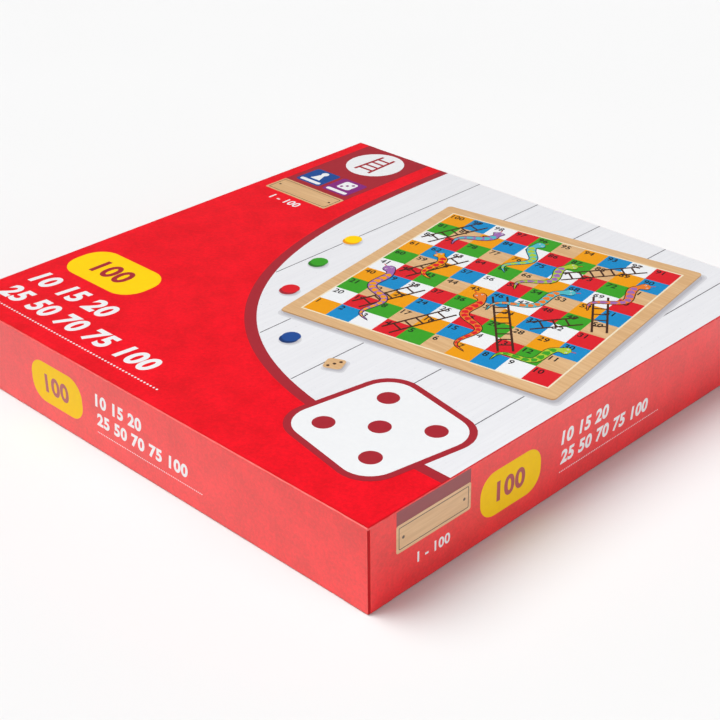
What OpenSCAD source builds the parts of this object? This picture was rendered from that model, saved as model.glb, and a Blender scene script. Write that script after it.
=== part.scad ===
// Boxed board game: a paper-wrapped greyboard box with a lift-off lid,
// and the wooden playing board, four counters and die that are kept in it.
// Millimetres, +Z up. The origin is under the middle of the closed box.

/* [Box] */
// Overall width of the closed box, left to right
box_w = 310; // [240:1:400]
// Overall depth of the closed box, front to back
box_d = 310; // [240:1:400]
// Overall height of the closed box
box_h = 45; // [43:0.5:70]
// Thickness of the greyboard panels
greyboard_t = 2; // [1.5:0.1:3]
// Line that a folded groove leaves at each edge of a panel
groove_gap = 0.1; // [0.05:0.05:0.3]
// Thickness of the wrapping paper
paper_t = 0.3; // [0.2:0.05:0.5]
// Width of the paper hem turned in at each rim and under the base
hem_w = 15; // [10:0.5:20]
// Thickness of the gummed tape that holds each wall corner
stay_t = 0.15; // [0.1:0.05:0.3]
// Width of each leg of a corner tape
stay_leg = 14; // [8:0.5:20]
// How far the sheet under the base laps over the hem
sheet_lap = 8; // [4:0.5:9]
// Clearance between the base and the lid, each side
lid_fit = 0.7; // [0.4:0.1:1.5]
// Gap between the lid's panel and the rim of the base
lid_seat = 0.3; // [0.2:0.1:0.6]
// Height of the lid's rim above the table
lid_rim_z = 0.4; // [0.3:0.1:6]

/* [Playing board] */
// Thickness of the plywood
plywood_t = 8; // [4:0.5:12]
// Radius of the board's corners
board_corner_r = 4; // [2:0.5:10]
// Gap between the board and the closed lid
board_headroom = 0.8; // [0.4:0.1:3]

/* [Card insert] */
// Thickness of the folded card
card_t = 1; // [0.6:0.1:1.2]
// Clearance between the insert and the base, each side
insert_fit = 0.4; // [0.2:0.1:0.8]
// Clearance round the playing board in its recess
board_fit = 0.5; // [0.3:0.1:1]
// Width of the ledges on the left and right of the board
ledge_w = 13.9; // [12.5:0.1:30]
// How far the ledges lie below the top of the board
ledge_drop = 1; // [0.5:0.5:4]
// Radius of the finger notches beside the board
notch_r = 11; // [7:0.5:11]
// Width of the tray for the small pieces, front to back
tray_d = 25.4; // [20:0.1:40]
// Height of the tray
tray_h = 15; // [8:0.5:20]
// Clearance between the tray and the platform
tray_fit = 0.4; // [0.2:0.1:0.8]
// Radius of the finger dip in the middle of each long side of the tray
dip_r = 8; // [5:0.5:12]

/* [Counters and die] */
// Diameter of a counter
counter_d = 16; // [10:0.5:18]
// Height of a counter
counter_h = 16; // [8:0.5:20]
// Chamfer on the edges of a counter
counter_chamfer = 0.8; // [0.4:0.1:1.5]
// Side of the die
die_w = 16; // [12:0.5:18]
// How far the ball that rounds the die stands out past its faces
die_round = 2.8; // [2.2:0.1:3.2]
// Diameter of a pip
pip_d = 2.6; // [1.6:0.1:3]
// Depth of a pip
pip_deep = 0.6; // [0.3:0.1:1]
// Distance of a pip from the middle of its face
pip_step = 3.4; // [2.6:0.1:3.6]
// Distance between the pieces in the tray
piece_pitch = 30; // [22:1:45]

/* [Hidden] */
$fn = 96;
// Overshoot of a cut past the face that it opens
cut = 1;

// Skin outside a greyboard wall: the corner tape and the paper
skin_t = stay_t + paper_t;

// Lid, from the outside in
lid_w = box_w - 2 * skin_t;
lid_d = box_d - 2 * skin_t;
lid_top_z = box_h - paper_t;
lid_under_z = lid_top_z - greyboard_t;
lid_wall_z = lid_rim_z + paper_t;

// Base, which slides into the lid past the paper turned in at the lid's rim
rim_step = greyboard_t + paper_t + lid_fit + skin_t;
base_w = lid_w - 2 * rim_step;
base_d = lid_d - 2 * rim_step;
base_hem_z = paper_t;
base_under_z = base_hem_z + paper_t;
floor_z = base_under_z + greyboard_t;
base_rim_z = lid_under_z - lid_seat;
base_wall_top_z = base_rim_z - paper_t;

// Room inside the base, past the paper turned in at its rim
insert_step = greyboard_t + paper_t + insert_fit;
insert_w = base_w - 2 * insert_step;
insert_d = base_d - 2 * insert_step;

// Tray along the front, and the platform in the rest of the room
tray_y = -insert_d / 2 + tray_d / 2;
platform_front_y = -insert_d / 2 + tray_d + tray_fit;
platform_d = insert_d / 2 - platform_front_y;
platform_mid_y = (insert_d / 2 + platform_front_y) / 2;

// Playing board, which fills the recess in the platform and lies against the back of the base
recess_w = insert_w - 2 * ledge_w;
recess_d = platform_d - 2 * card_t;
board_w = recess_w - 2 * board_fit;
board_d = recess_d - 2 * board_fit;
board_y = (insert_d - recess_d) / 2;
board_z = lid_under_z - board_headroom - plywood_t;
ledge_z = board_z + plywood_t - ledge_drop;
piece_z = floor_z + card_t;
die_ball_r = die_w / 2 + die_round;

PIECES = ["yellow", "blue", "green", "red", "die"];
// Spots of the six faces on a three by three grid
PIPS = [
    [[0, 0]],
    [[-1, -1], [1, 1]],
    [[-1, -1], [0, 0], [1, 1]],
    [[-1, -1], [-1, 1], [1, -1], [1, 1]],
    [[-1, -1], [-1, 1], [0, 0], [1, -1], [1, 1]],
    [[-1, -1], [-1, 0], [-1, 1], [1, -1], [1, 0], [1, 1]]
];
// Turns that bring the top to each face, with opposite faces adding up to seven
FACE_TURNS = [[0, 90, 0], [90, 0, 0], [180, 0, 0], [0, 0, 0], [-90, 0, 0], [0, -90, 0]];

function piece_x(name) = (search([name], PIECES)[0] - (len(PIECES) - 1) / 2) * piece_pitch;

// Plan of a greyboard shell
module shell_plan(w, d) {
    square([w, d], center = true);
}

// Plan of the four tapes round a shell's corners, reaching out past the walls
module corner_plan(w, d, reach) {
    side = stay_leg + reach;
    for (x = [-1, 1], y = [-1, 1])
        translate([x * (w / 2 + reach - side / 2), y * (d / 2 + reach - side / 2)])
            square([side, side], center = true);
}

// Plan of a shell with its corner tapes
module taped_plan(w, d) {
    shell_plan(w, d);
    corner_plan(w, d, stay_t);
}

// Plan of the wrapped shell: the paper rises over the tapes at the corners
module wrapped_plan(w, d) {
    shell_plan(w + 2 * paper_t, d + 2 * paper_t);
    corner_plan(w, d, skin_t);
}

// Plan of the paper turned in along the inside of the walls
module hem_plan(w, d) {
    inside = 2 * greyboard_t;
    difference() {
        shell_plan(w - inside, d - inside);
        shell_plan(w - inside - 2 * paper_t, d - inside - 2 * paper_t);
    }
}

// Plan of the paper folded over the edge of the walls
module rim_plan(w, d) {
    inside = 2 * (greyboard_t + paper_t);
    difference() {
        wrapped_plan(w, d);
        shell_plan(w - inside, d - inside);
    }
}

// Upright wall drawn from one height to another
module rise(from_z, to_z) {
    translate([0, 0, from_z]) linear_extrude(to_z - from_z) children();
}

// Strip cut to a mitre at both ends: full length along its outer face, shorter along its inner one
module mitred_plan(length) {
    half = length / 2 - groove_gap;
    polygon([[-half, 0], [half, 0], [half - greyboard_t, greyboard_t], [-half + greyboard_t, greyboard_t]]);
}

// One wall of a folded shell that opens upwards, with its outer face at the given distance
module folded_wall(length, distance, h) {
    translate([0, -distance, 0]) intersection() {
        linear_extrude(h) mitred_plan(length);
        rotate([90, 0, 90]) linear_extrude(length, center = true)
            polygon([
                [0, groove_gap], [0, h], [greyboard_t, h], [greyboard_t, greyboard_t + groove_gap]
            ]);
    }
}

// A grooved blank folded up into a tray: the panel and its four walls meet at mitres
module folded_shell(w, d, h) {
    intersection() {
        rotate([90, 0, 0]) linear_extrude(d, center = true) mitred_plan(w);
        rotate([90, 0, 90]) linear_extrude(w, center = true) mitred_plan(d);
    }
    for (turn = [0, 180]) {
        rotate(turn) folded_wall(w, d / 2, h);
        rotate(turn + 90) folded_wall(d, w / 2, h);
    }
}

// Corner tapes of one shell
module corner_stays(w, d, from_z, to_z) {
    rise(from_z, to_z) difference() {
        corner_plan(w, d, stay_t);
        shell_plan(w, d);
    }
}

// Paper round the outside of the walls
module side_paper(w, d, from_z, to_z) {
    rise(from_z, to_z) difference() {
        wrapped_plan(w, d);
        taped_plan(w, d);
    }
}

module lid_board() {
    color("tan") translate([0, 0, lid_top_z]) mirror([0, 0, 1])
        folded_shell(lid_w, lid_d, lid_top_z - lid_wall_z);
}

module lid_corner_stays() {
    color("burlywood") corner_stays(lid_w, lid_d, lid_wall_z, lid_top_z);
}

module lid_wrap() {
    color("crimson") {
        rise(lid_top_z, box_h) wrapped_plan(lid_w, lid_d);
        side_paper(lid_w, lid_d, lid_wall_z, lid_top_z);
        rise(lid_rim_z, lid_wall_z) rim_plan(lid_w, lid_d);
        rise(lid_wall_z, lid_wall_z + hem_w) hem_plan(lid_w, lid_d);
    }
}

module base_board() {
    color("tan") translate([0, 0, base_under_z])
        folded_shell(base_w, base_d, base_wall_top_z - base_under_z);
}

module base_corner_stays() {
    color("burlywood") corner_stays(base_w, base_d, base_under_z, base_wall_top_z);
}

module base_wrap() {
    color("whitesmoke") {
        rise(base_hem_z, base_under_z) difference() {
            wrapped_plan(base_w, base_d);
            shell_plan(base_w - 2 * hem_w, base_d - 2 * hem_w);
        }
        side_paper(base_w, base_d, base_under_z, base_wall_top_z);
        rise(base_wall_top_z, base_rim_z) rim_plan(base_w, base_d);
        rise(base_wall_top_z - hem_w, base_wall_top_z) hem_plan(base_w, base_d);
    }
}

// The sheet fills the middle of the underside and laps over the hem round it
module base_bottom_sheet() {
    inset = 2 * (hem_w - sheet_lap);
    color("whitesmoke") {
        rise(0, base_hem_z) shell_plan(base_w - inset, base_d - inset);
        rise(base_hem_z, base_under_z) shell_plan(base_w - 2 * hem_w, base_d - 2 * hem_w);
    }
}

// One folded card, seen from the front: leg, ledge, riser, deck, and the same again
module platform_profile() {
    difference() {
        translate([-insert_w / 2, floor_z]) square([insert_w, ledge_z - floor_z]);
        translate([-recess_w / 2, board_z]) square([recess_w, plywood_t]);
        for (side = [-1, 1])
            translate([side * (insert_w - ledge_w) / 2, (floor_z + ledge_z) / 2 - card_t])
                square([ledge_w - 2 * card_t, ledge_z - floor_z], center = true);
        translate([-insert_w / 2 + card_t, floor_z - cut])
            square([insert_w - 2 * card_t, board_z - card_t - floor_z + cut]);
    }
}

module board_platform() {
    color("tan") difference() {
        union() {
            translate([0, platform_mid_y, 0]) rotate([90, 0, 0])
                linear_extrude(platform_d, center = true) platform_profile();
            // Leg along the back
            translate([-insert_w / 2, insert_d / 2 - card_t, floor_z])
                cube([insert_w, card_t, board_z - floor_z]);
            // Front wall: up from the deck, folded over, and down to the floor
            translate([-insert_w / 2, platform_front_y, floor_z])
                cube([insert_w, card_t, ledge_z - floor_z]);
            translate([-recess_w / 2, platform_front_y + card_t, board_z - card_t])
                cube([recess_w, card_t, ledge_z - board_z + card_t]);
        }
        for (side = [-1, 1])
            translate([side * recess_w / 2, board_y, board_z - card_t - cut])
                cylinder(r = notch_r, h = ledge_z - board_z + card_t + 2 * cut);
    }
}

module piece_tray() {
    color("tan") difference() {
        translate([-insert_w / 2, tray_y - tray_d / 2, floor_z]) cube([insert_w, tray_d, tray_h]);
        translate([-insert_w / 2 + card_t, tray_y - tray_d / 2 + card_t, piece_z])
            cube([insert_w - 2 * card_t, tray_d - 2 * card_t, tray_h]);
        translate([0, tray_y, floor_z + tray_h]) rotate([90, 0, 0])
            cylinder(r = min(dip_r, tray_h - 2 * card_t), h = tray_d + 2 * cut, center = true);
    }
}

module playing_board() {
    straight_w = board_w - 2 * board_corner_r;
    straight_d = board_d - 2 * board_corner_r;
    color("burlywood") translate([0, board_y, board_z]) linear_extrude(plywood_t) union() {
        square([board_w, straight_d], center = true);
        square([straight_w, board_d], center = true);
        for (x = [-0.5, 0.5], y = [-0.5, 0.5])
            translate([x * straight_w, y * straight_d]) circle(r = board_corner_r);
    }
}

// A length of dowel with both ends chamfered
module counter(name) {
    r = counter_d / 2;
    c = counter_chamfer;
    translate([piece_x(name), tray_y, piece_z]) rotate_extrude()
        polygon([[0, 0], [r - c, 0], [r, c], [r, counter_h - c], [r - c, counter_h], [0, counter_h]]);
}

module yellow_counter() {
    color("gold") counter("yellow");
}

module blue_counter() {
    color("royalblue") counter("blue");
}

module green_counter() {
    color("forestgreen") counter("green");
}

module red_counter() {
    color("crimson") counter("red");
}

// A wooden cube turned round at its corners, with a shallow dimple for each pip
module die() {
    dimple_r = (pip_d * pip_d / 4 + pip_deep * pip_deep) / (2 * pip_deep);
    color("wheat") translate([piece_x("die"), tray_y, piece_z + die_w / 2]) difference() {
        intersection() {
            cube(die_w, center = true);
            sphere(r = die_ball_r);
        }
        for (face = [0 : 5])
            rotate(FACE_TURNS[face])
                for (spot = PIPS[face])
                    translate([spot.x * pip_step, spot.y * pip_step, die_w / 2 - pip_deep + dimple_r])
                        sphere(r = dimple_r);
    }
}

lid_board();
lid_corner_stays();
lid_wrap();
base_board();
base_corner_stays();
base_wrap();
base_bottom_sheet();
board_platform();
piece_tray();
playing_board();
yellow_counter();
blue_counter();
green_counter();
red_counter();
die();
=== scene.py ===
"""Boxed snakes and ladders game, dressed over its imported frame.

At rest the box is closed. Its lid, the playing board, four counters and the die lift on their own
bodies. The print on the box is generic: plain numbers, a die face and a picture of a board of the
usual kind.
"""

import math

import bmesh
import bpy
from mathutils import Matrix, Vector


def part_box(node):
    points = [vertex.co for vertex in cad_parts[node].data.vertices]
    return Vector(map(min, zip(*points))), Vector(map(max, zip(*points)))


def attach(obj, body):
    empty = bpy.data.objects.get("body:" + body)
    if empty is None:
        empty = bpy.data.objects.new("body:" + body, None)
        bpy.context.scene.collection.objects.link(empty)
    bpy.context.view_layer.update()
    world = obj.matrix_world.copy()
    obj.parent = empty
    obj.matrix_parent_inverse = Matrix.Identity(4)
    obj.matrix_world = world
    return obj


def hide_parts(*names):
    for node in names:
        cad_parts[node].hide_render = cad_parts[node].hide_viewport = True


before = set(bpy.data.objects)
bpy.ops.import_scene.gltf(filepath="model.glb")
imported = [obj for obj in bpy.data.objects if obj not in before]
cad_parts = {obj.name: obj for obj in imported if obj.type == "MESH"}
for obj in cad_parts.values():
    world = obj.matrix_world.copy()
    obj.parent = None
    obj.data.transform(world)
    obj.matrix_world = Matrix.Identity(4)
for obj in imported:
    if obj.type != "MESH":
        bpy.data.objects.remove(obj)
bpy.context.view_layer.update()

# Millimetres are turned to metres by this. Print is drawn in millimetres until it is stamped.
MM = 0.001
# Closeness at which two places count as one, and at which doubled points are merged
HAIR = 0.01 * MM
WELD = HAIR / 10
# Share of a normal along an axis at which a face counts as facing that way
FACING = 0.9

# The photograph's viewpoint
LENS_MM = 76.41
SENSOR_MM = 36
AZIMUTH = math.radians(45.0)
ELEVATION = math.radians(29.206)
ROLL = math.radians(-0.69)
CAMERA_DISTANCE = 842.3 * MM
CAMERA_RIGHT = -2.29 * MM
CAMERA_UP = 2.05 * MM

# Make-up of the wrapped box, as the solids have it
PAPER_T = 0.3 * MM
STAY_T = 0.15 * MM
STAY_LEG = 14 * MM
GREYBOARD_T = 2 * MM
HEM_W = 15 * MM
SKIN_T = PAPER_T + STAY_T
# Length over which the paper slopes down from a corner tape
STAY_SLOPE = 0.8 * MM
# Outer radius of the paper at a fold
FOLD_R = 0.7 * MM
# The papers of the left and right walls stop this far from a corner, and this far below the panel
LAP_STRIP = 1.5 * MM
LAP_START = 1 * MM
# Length over which the surface steps down at the cut edge of a paper
LAP_SLOPE = 0.1 * MM

# Playing board
BOARD_CORNER_R = 4 * MM
BOARD_EDGE_R = 0.6 * MM
PLIES = 5
# Stretch of its grain along the board
BOARD_GRAIN = (0.05, 1, 1)
# Turned and sawn small pieces
COUNTER_EDGE_R = 0.8 * MM
PIP_DEPTH_SEEN = 0.1 * MM
DIE_BALL_R = 10.8 * MM
CARD_EDGE_R = 0.22 * MM

# One pass of ink, drawn thicker than it is so that the passes stay apart
INK_T = 0.02 * MM
# Share of the clear film's shine on the print
FILM_COAT = 0.7


def corners(node):
    """Low and high corner of a solid's box."""
    return [Vector(corner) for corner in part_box(node)]


LID_HIGH = corners("lid_wrap")[1]
LID_HALF_W, LID_HALF_D, LID_TOP = LID_HIGH / MM
BOARD_LOW, BOARD_HIGH = corners("playing_board")
BOARD_MIDDLE = (BOARD_LOW + BOARD_HIGH) / 2
BOARD_W = (BOARD_HIGH.x - BOARD_LOW.x) / MM


# Colours and nodes


def linear(hex_colour):
    """An sRGB hex colour as the linear values that a shader takes."""
    parts = [int(hex_colour[i:i + 2], 16) / 255 for i in (1, 3, 5)]
    return [p / 12.92 if p <= 0.04045 else ((p + 0.055) / 1.055) ** 2.4 for p in parts] + [1.0]


def per(millimetres):
    """Texture scale at which one feature is that long."""
    return 1 / (millimetres * MM)


def feed(node, inputs):
    """Sets a node's inputs, by name or number, or links them. A hex colour is made linear."""
    in_use = [socket for socket in node.inputs if socket.enabled]
    for key, value in inputs.items():
        entry = in_use[key] if isinstance(key, int) else next(s for s in in_use if s.name == key)
        if isinstance(value, bpy.types.Node):
            value = next(socket for socket in value.outputs if socket.enabled)
        if isinstance(value, bpy.types.NodeSocket):
            node.id_data.links.new(value, entry)
        else:
            entry.default_value = linear(value) if isinstance(value, str) else value


def add(tree, kind, inputs=None, **settings):
    """Adds one shader node with its settings, and feeds its inputs."""
    made = tree.nodes.new("ShaderNode" + kind)
    for name, value in settings.items():
        setattr(made, name, value)
    feed(made, inputs or {})
    return made


def new_material(name):
    """A bare material, its tree and shader, and the object coordinates that patterns follow."""
    material = bpy.data.materials.new(name)
    material.use_nodes = True
    tree = material.node_tree
    place = add(tree, "TexCoord").outputs["Object"]
    return material, tree, tree.nodes["Principled BSDF"], place


def marked(tree, tone, dark, light, marks, span, share, mark):
    """Two tones that one pattern mixes, with marks of a third that follow another pattern.

    Over a span of that pattern's values, the marks' share goes from its first value to its last.
    """
    base = add(tree, "Mix", {"Factor": tone, "A": dark, "B": light}, data_type="RGBA")
    amount = add(tree, "MapRange", {
        "Value": marks,
        "From Min": span[0], "From Max": span[1], "To Min": share[0], "To Max": share[1],
    })
    return add(tree, "Mix", {"Factor": amount, "A": base, "B": mark}, data_type="RGBA")


# Materials of the box


def film_gloss(tree, shader, place, colour):
    """Gloss film over print: a clear coat with faint orange peel and the board's slow swell."""
    peel = add(tree, "TexNoise", {"Vector": place, "Scale": per(1.1), "Detail": 2.0})
    swell = add(tree, "TexNoise", {"Vector": place, "Scale": per(24), "Detail": 1.0})
    fine = add(tree, "Bump", {"Height": peel, "Distance": 0.006 * MM})
    both = add(tree, "Bump", {"Height": swell, "Distance": 0.12 * MM, "Normal": fine})
    smudge = add(tree, "TexNoise", {"Vector": place, "Scale": per(38), "Detail": 4.0})
    rough = add(tree, "MapRange", {"Value": smudge, "To Min": 0.3, "To Max": 0.4})
    feed(shader, {
        "Base Color": colour, "Roughness": rough, "Normal": both, "IOR": 1.5,
        "Coat Weight": FILM_COAT, "Coat Roughness": 0.3, "Coat IOR": 1.5,
    })


def lid_ink(name, light, dark, filmed=True):
    """Offset ink under gloss film: even colour with a faint mottle of paper fibre.

    A spot colour is printed over the film instead: dense, and duller than the film round it.
    """
    material, tree, shader, place = new_material(name)
    mottle = add(tree, "TexNoise", {"Vector": place, "Scale": per(2.2), "Detail": 4.0})
    colour = add(tree, "Mix", {"Factor": mottle, "A": dark, "B": light}, data_type="RGBA")
    if filmed:
        film_gloss(tree, shader, place, colour)
    else:
        rough = add(tree, "MapRange", {"Value": mottle, "To Min": 0.42, "To Max": 0.58})
        feed(shader, {"Base Color": colour, "Roughness": rough, "Specular IOR Level": 0.2})
    return material


def film_planks(name):
    """A photographed floor of white planks under film: faint grey streaks and small dents."""
    material, tree, shader, place = new_material(name)
    along = add(tree, "Mapping", {"Vector": place, "Scale": (1, 0.04, 1)})
    streaks = add(tree, "TexNoise", {"Vector": along, "Scale": per(1.6), "Detail": 4.0})
    dents = add(tree, "TexNoise", {"Vector": place, "Scale": per(1.5), "Detail": 3.0})
    colour = marked(tree, streaks, "#E6E6EA", "#F4F4F7",
                    dents, (0.66, 0.78), (0.0, 0.5), "#B4B3B8")
    film_gloss(tree, shader, place, colour)
    return material


def film_wood(name, stretch, turn):
    """A photographed wood print under film: warm bands along the picture, with darker pores."""
    material, tree, shader, place = new_material(name)
    along = add(tree, "Mapping", {"Vector": place, "Rotation": (0, 0, turn), "Scale": stretch})
    bands = add(tree, "TexNoise", {"Vector": along, "Scale": per(7), "Detail": 2.0})
    pores = add(tree, "TexNoise", {"Vector": along, "Scale": per(1.4), "Detail": 5.0})
    colour = marked(tree, bands, "#DDAF7C", "#EBC596",
                    pores, (0.42, 0.62), (0.3, 0.0), "#C08F5C")
    film_gloss(tree, shader, place, colour)
    return material


def red_wrap():
    """Wrapping paper printed solid red under gloss film: a grainy, cloudy tone, broken at folds.

    The print carries a painted highlight along each wall's top fold and upright corners, uneven
    along its length, and a painted dark line of shade on the panel just inside its folds. Beside an
    upright corner the end paper's cut edge leaves a strip of the paper below it, which has no film.
    """
    material, tree, shader, place = new_material("gloss_laminated_red_paper")
    clouds = add(tree, "TexNoise", {
        "Vector": place, "Scale": per(16), "Detail": 5.0, "Roughness": 0.6,
    })
    grain = add(tree, "TexNoise", {
        "Vector": place, "Scale": per(1.7), "Detail": 3.0, "Roughness": 0.7,
    })
    both = add(tree, "Mix", {"Factor": 0.5, "A": clouds, "B": grain})
    tone = add(tree, "MapRange", {"Value": both, "From Min": 0.38, "From Max": 0.62})
    cloudy_red = add(tree, "Mix", {
        "Factor": tone, "A": "#E4011A", "B": "#FF0724",
    }, data_type="RGBA")
    # Distance from the nearest fold: the middle one of the distances to the top, a side and an end
    apart = add(tree, "VectorMath", {0: place}, operation="ABSOLUTE")
    inside = add(tree, "VectorMath", {0: LID_HIGH, 1: apart}, operation="SUBTRACT")
    x, y, z = add(tree, "SeparateXYZ", {0: inside}).outputs
    least = add(tree, "Math", {0: x, 1: y}, operation="MINIMUM")
    most = add(tree, "Math", {0: x, 1: y}, operation="MAXIMUM")
    lower = add(tree, "Math", {0: most, 1: z}, operation="MINIMUM")
    fold = add(tree, "Math", {0: least, 1: lower}, operation="MAXIMUM")
    normal = add(tree, "NewGeometry").outputs["Normal"]
    facing = add(tree, "VectorMath", {0: normal}, operation="ABSOLUTE")
    sideways, _, upward = add(tree, "SeparateXYZ", {0: facing}).outputs
    # Painted shade: a dark line on the panel just inside its folds
    panel = add(tree, "Math", {0: upward, 1: 0.8}, operation="GREATER_THAN")
    crease_shade_ramp = add(tree, "MapRange", {
        "Value": fold, "From Min": 0.6 * MM, "From Max": 1.4 * MM, "To Min": 0.55, "To Max": 0.0,
    })
    painted_crease_shade = add(tree, "Math", {0: crease_shade_ramp, 1: panel}, operation="MULTIPLY")
    crease_shaded_red = add(tree, "Mix", {
        "Factor": painted_crease_shade, "A": cloudy_red, "B": "#A0000E",
    }, data_type="RGBA")
    # Painted highlight: a pale line along each wall's top fold and upright corners, uneven along it
    wall = add(tree, "Math", {0: 1.0, 1: panel}, operation="SUBTRACT")
    fold_highlight_ramp = add(tree, "MapRange", {
        "Value": fold, "From Min": 0.4 * MM, "From Max": 1.0 * MM, "To Min": 1.0, "To Max": 0.0,
    })
    highlight_noise = add(tree, "TexNoise", {"Vector": place, "Scale": per(5), "Detail": 6.0})
    highlight_strength = add(tree, "MapRange", {
        "Value": highlight_noise, "From Min": 0.4, "From Max": 0.7, "To Min": 0.12, "To Max": 0.35,
    })
    edge = add(tree, "Math", {0: fold_highlight_ramp, 1: wall}, operation="MULTIPLY")
    painted_highlight = add(tree, "Math", {0: edge, 1: highlight_strength}, operation="MULTIPLY")
    highlighted_red = add(tree, "Mix", {
        "Factor": painted_highlight, "A": crease_shaded_red, "B": "#F4A3A0",
    }, data_type="RGBA")
    # The bare strip beside an upright corner
    end_wall = add(tree, "Math", {0: sideways, 1: 0.6}, operation="GREATER_THAN")
    close = add(tree, "Math", {0: y, 1: LAP_STRIP}, operation="LESS_THAN")
    below = add(tree, "Math", {0: z, 1: LAP_START}, operation="GREATER_THAN")
    beside = add(tree, "Math", {0: end_wall, 1: close}, operation="MULTIPLY")
    bare = add(tree, "Math", {0: beside, 1: below}, operation="MULTIPLY")
    colour = add(tree, "Mix", {"Factor": bare, "A": highlighted_red, "B": "#B8101C"}, data_type="RGBA")
    coat = add(tree, "MapRange", {"Value": bare, "To Min": FILM_COAT, "To Max": 0.0})
    shine = add(tree, "MapRange", {"Value": bare, "To Min": 0.5, "To Max": 0.1})
    film_gloss(tree, shader, place, colour)
    # Dense red ink bronzes: its own shine is a little golden under the clear one of the film
    feed(shader, {"Specular Tint": "#FFF8C8", "Coat Weight": coat, "Specular IOR Level": shine})
    return material


def fibre_stock(name, light, dark, fleck, fibre_mm, roughness):
    """Unprinted paper or board: two tones of pulp with short darker fibres, dull and fuzzy."""
    material, tree, shader, place = new_material(name)
    pulp = add(tree, "TexNoise", {"Vector": place, "Scale": per(fibre_mm * 5), "Detail": 6.0})
    strewn = add(tree, "Mapping", {
        "Vector": place, "Rotation": (0.4, 0.3, 0.6), "Scale": (0.3, 1, 1),
    })
    fibres = add(tree, "TexNoise", {"Vector": strewn, "Scale": per(fibre_mm), "Detail": 3.0})
    colour = marked(tree, pulp, dark, light, fibres, (0.6, 0.72), (0.0, 0.6), fleck)
    bump = add(tree, "Bump", {"Height": fibres, "Distance": 0.03 * MM})
    feed(shader, {"Base Color": colour, "Normal": bump, "Roughness": roughness})
    return material


# Materials of the game


def plywood():
    """Sanded birch plywood under matt varnish: fine grain on its faces, plies on its edges."""
    material, tree, shader, place = new_material("birch_plywood")
    along = add(tree, "Mapping", {"Vector": place, "Scale": BOARD_GRAIN})
    grain = add(tree, "TexNoise", {"Vector": along, "Scale": per(1.1), "Detail": 5.0})
    figure = add(tree, "TexNoise", {
        "Vector": along, "Scale": per(14), "Detail": 3.0, "Distortion": 0.6,
    })
    veneer = marked(tree, figure, "#D9B183", "#ECCFA3",
                    grain, (0.4, 0.6), (0.4, 0.0), "#BE9262")
    # Every other ply is dark, and they show where the surface is steep
    height = add(tree, "SeparateXYZ", {0: place}).outputs["Z"]
    ply_top = BOARD_LOW.z + (BOARD_HIGH.z - BOARD_LOW.z) / PLIES
    layer = add(tree, "MapRange", {
        "Value": height, "From Min": BOARD_LOW.z, "From Max": ply_top,
    }, clamp=False)
    whole = add(tree, "Math", {0: layer}, operation="FLOOR")
    odd = add(tree, "Math", {0: whole, 1: 2.0}, operation="MODULO")
    plies = add(tree, "Mix", {"Factor": odd, "A": "#E2BF90", "B": "#9C6E45"}, data_type="RGBA")
    normal = add(tree, "NewGeometry").outputs["Normal"]
    upright = add(tree, "SeparateXYZ", {0: normal}).outputs["Z"]
    level = add(tree, "Math", {0: upright}, operation="ABSOLUTE")
    edge = add(tree, "Math", {0: level, 1: 0.6}, operation="LESS_THAN")
    colour = add(tree, "Mix", {"Factor": edge, "A": veneer, "B": plies}, data_type="RGBA")
    bump = add(tree, "Bump", {"Height": grain, "Distance": 0.03 * MM})
    feed(shader, {"Base Color": colour, "Normal": bump, "Roughness": 0.5})
    return material


def board_ink(name, light, dark):
    """Screen ink on the plywood: opaque and satin, with the grain under it as faint ridges."""
    material, tree, shader, place = new_material(name)
    along = add(tree, "Mapping", {"Vector": place, "Scale": BOARD_GRAIN})
    grain = add(tree, "TexNoise", {"Vector": along, "Scale": per(1.1), "Detail": 5.0})
    colour = add(tree, "Mix", {"Factor": grain, "A": dark, "B": light}, data_type="RGBA")
    bump = add(tree, "Bump", {"Height": grain, "Distance": 0.02 * MM})
    feed(shader, {"Base Color": colour, "Normal": bump, "Roughness": 0.42})
    return material


def painted_wood(name, light, dark):
    """Dipped hardwood dowel: satin paint that sinks into the grain and pools a little darker."""
    material, tree, shader, place = new_material(name)
    upright = add(tree, "Mapping", {"Vector": place, "Scale": (1, 1, 0.08)})
    grain = add(tree, "TexNoise", {"Vector": upright, "Scale": per(0.9), "Detail": 4.0})
    pools = add(tree, "TexNoise", {"Vector": place, "Scale": per(6), "Detail": 2.0})
    share = add(tree, "Math", {0: grain, 1: pools}, operation="MULTIPLY")
    spread = add(tree, "MapRange", {"Value": share, "From Min": 0.15, "From Max": 0.4})
    colour = add(tree, "Mix", {"Factor": spread, "A": dark, "B": light}, data_type="RGBA")
    bump = add(tree, "Bump", {"Height": grain, "Distance": 0.05 * MM})
    feed(shader, {"Base Color": colour, "Normal": bump, "Roughness": 0.38})
    return material


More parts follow.
